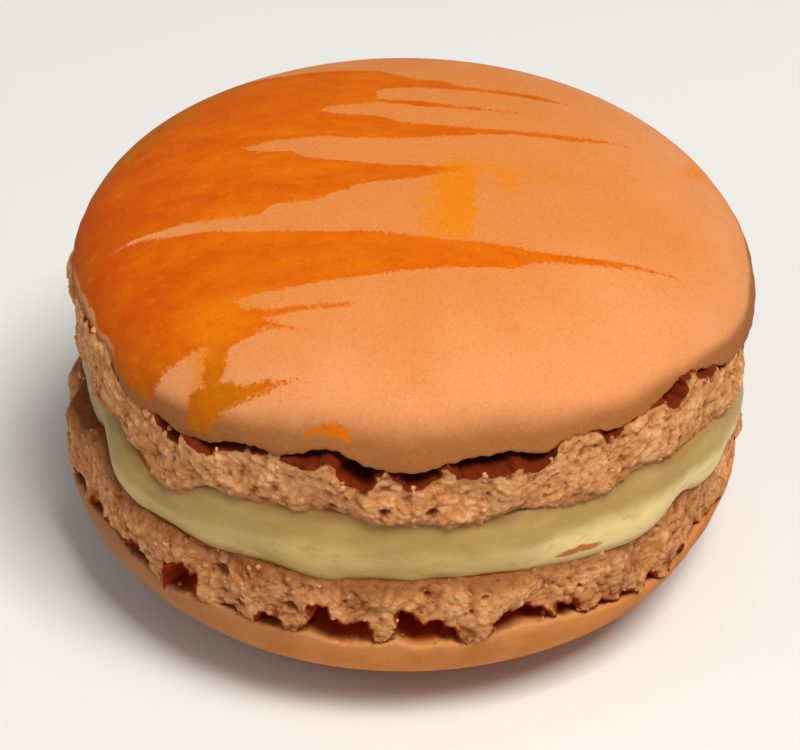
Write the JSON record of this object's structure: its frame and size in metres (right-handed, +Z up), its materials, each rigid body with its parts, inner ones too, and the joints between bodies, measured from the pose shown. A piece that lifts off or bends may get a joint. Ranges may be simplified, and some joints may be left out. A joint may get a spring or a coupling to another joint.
{
  "type": "filled meringue sandwich biscuit",
  "caption": "Round almond meringue sandwich biscuit: a smooth domed shell above and below, each with a ruffled crumbly foot, around a soft band of cream.",
  "frame": {"origin": "On the surface that the biscuit rests on, under the middle of its outline", "axes": "+Z up through the two shells, -Y towards the front of the picture, +X to the right in it"},
  "size_m": [0.0454, 0.0456, 0.0285],
  "materials": {
    "upper_shell": "dry baked meringue skin, faintly satin, peach, with orange food colour brushed over its left side; the foot is matt and crumbly",
    "cream": "soft butter cream, pale khaki yellow, slightly shiny",
    "lower_shell": "dry baked meringue skin, peach brown and matt; the foot is matt and crumbly"
  },
  "bodies": {
    "root": {"upper_shell": "upper_shell", "cream": "cream", "lower_shell": "lower_shell"}
  },
  "joints": []
}
